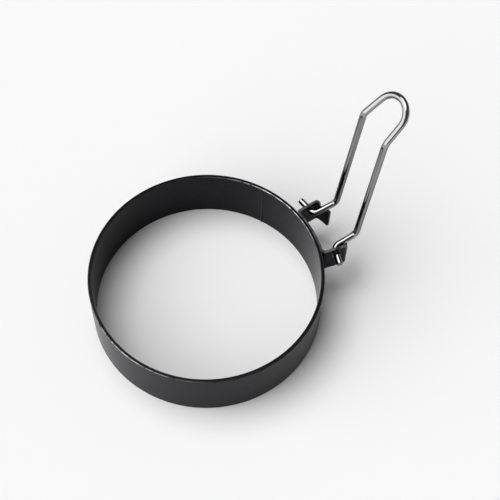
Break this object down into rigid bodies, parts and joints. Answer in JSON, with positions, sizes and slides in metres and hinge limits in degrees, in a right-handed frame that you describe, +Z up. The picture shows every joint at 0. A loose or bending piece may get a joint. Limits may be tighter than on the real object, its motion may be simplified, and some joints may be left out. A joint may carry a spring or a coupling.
{
  "type": "egg ring",
  "caption": "Round black-coated metal hoop that shapes a frying egg, with a folded sheet bracket on its outer wall and a bright bent-wire handle that folds over the hoop.",
  "frame": {"origin": "under the middle of the part's box, on the surface that the hoop stands on", "axes": "+Z up along the hoop's axis, +X from the hoop's axis to the hinge and the handle, +Y across the hinge"},
  "size_m": [0.123, 0.09, 0.0884],
  "materials": {
    "black_coating": "satin black non-stick coating on steel",
    "bright_wire": "bright chrome-plated steel wire"
  },
  "bodies": {
    "ring": {"ring_band": "black_coating", "hinge_bracket": "black_coating"},
    "handle": {"wire_handle": "bright_wire"}
  },
  "joints": [
    {"name": "handle_fold", "type": "hinge", "parent": "ring", "child": "handle", "pos_m": [0.03408, 0, 0.0183], "axis": [0, -1, 0], "range_deg": [0, 108]}
  ]
}
